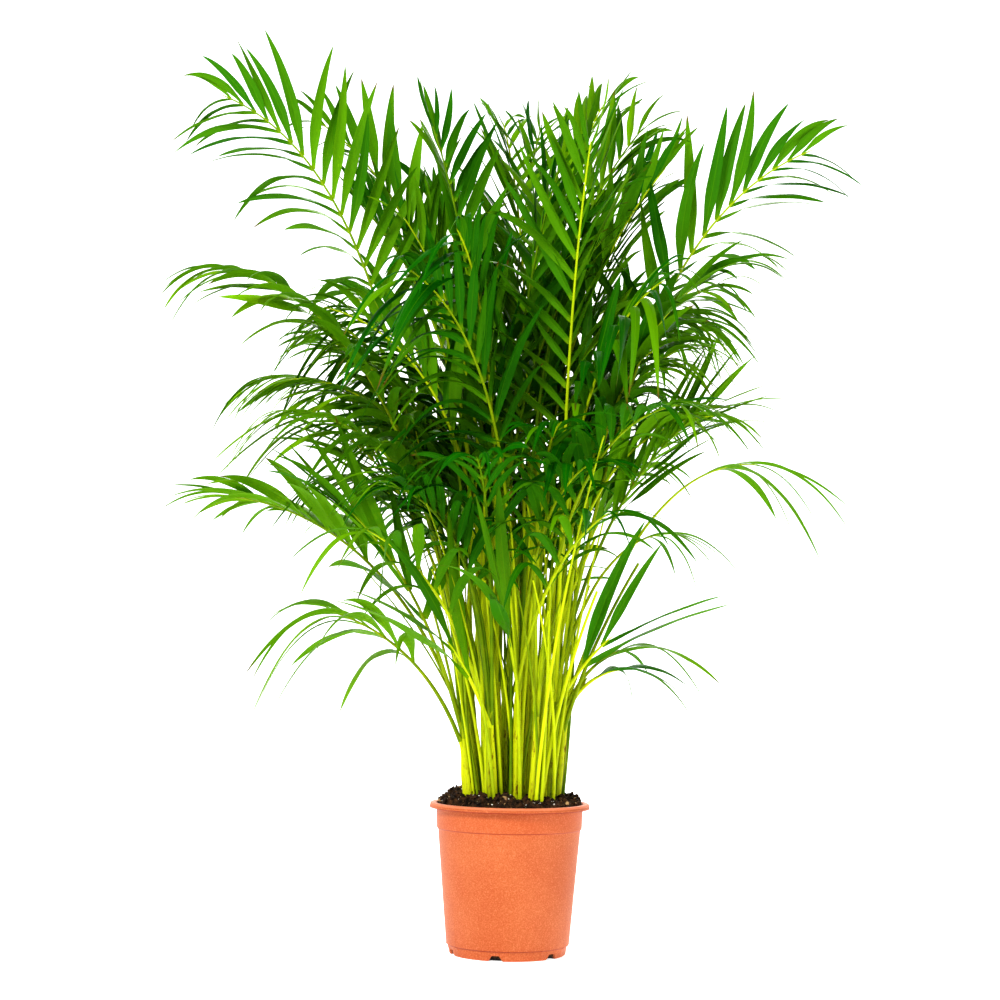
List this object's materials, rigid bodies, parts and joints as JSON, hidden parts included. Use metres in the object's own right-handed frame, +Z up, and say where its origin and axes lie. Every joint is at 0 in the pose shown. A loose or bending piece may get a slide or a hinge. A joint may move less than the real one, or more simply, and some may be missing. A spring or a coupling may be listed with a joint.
{
  "type": "potted palm",
  "caption": "Clumping feather palm with arching, feathered fronds on slim stems, growing in a round tapered nursery pot of soil.",
  "frame": {"origin": "middle of the pot's underside, on the floor", "axes": "+Z up along the pot's axis, -Y toward the front as seen in the picture"},
  "size_m": [0.9361, 0.6805, 1.2274],
  "materials": {
    "pot": "moulded terracotta-coloured plastic, satin with a fine grain",
    "soil": "dark brown potting mix with bark crumbs and white grit",
    "shoot": "smooth yellow-green leaf sheaths with brown flecks",
    "frond": "smooth green leaflets with a soft sheen and a yellow-green stalk"
  },
  "bodies": {
    "root": {"pot": "pot", "soil": "soil", "shoot_01": "shoot", "shoot_02": "shoot", "shoot_03": "shoot", "shoot_04": "shoot", "shoot_05": "shoot", "shoot_06": "shoot", "shoot_07": "shoot", "shoot_08": "shoot", "shoot_09": "shoot", "shoot_10": "shoot", "shoot_11": "shoot", "shoot_12": "shoot", "shoot_13": "shoot", "shoot_14": "shoot", "shoot_15": "shoot", "shoot_16": "shoot", "shoot_17": "shoot", "shoot_18": "shoot", "frond_01": "frond", "frond_02": "frond", "frond_03": "frond", "frond_04": "frond", "frond_05": "frond", "frond_06": "frond", "frond_07": "frond", "frond_08": "frond", "frond_09": "frond", "frond_10": "frond", "frond_11": "frond", "frond_12": "frond", "frond_13": "frond", "frond_14": "frond", "frond_15": "frond", "frond_16": "frond", "frond_17": "frond", "frond_18": "frond", "frond_19": "frond", "frond_20": "frond", "frond_21": "frond", "frond_22": "frond", "frond_23": "frond", "frond_24": "frond", "frond_25": "frond", "frond_26": "frond", "frond_27": "frond", "frond_28": "frond", "frond_29": "frond", "frond_30": "frond", "frond_31": "frond", "frond_32": "frond", "frond_33": "frond", "frond_34": "frond", "frond_35": "frond", "frond_36": "frond", "frond_37": "frond", "frond_38": "frond", "frond_39": "frond", "frond_40": "frond"}
  },
  "joints": []
}
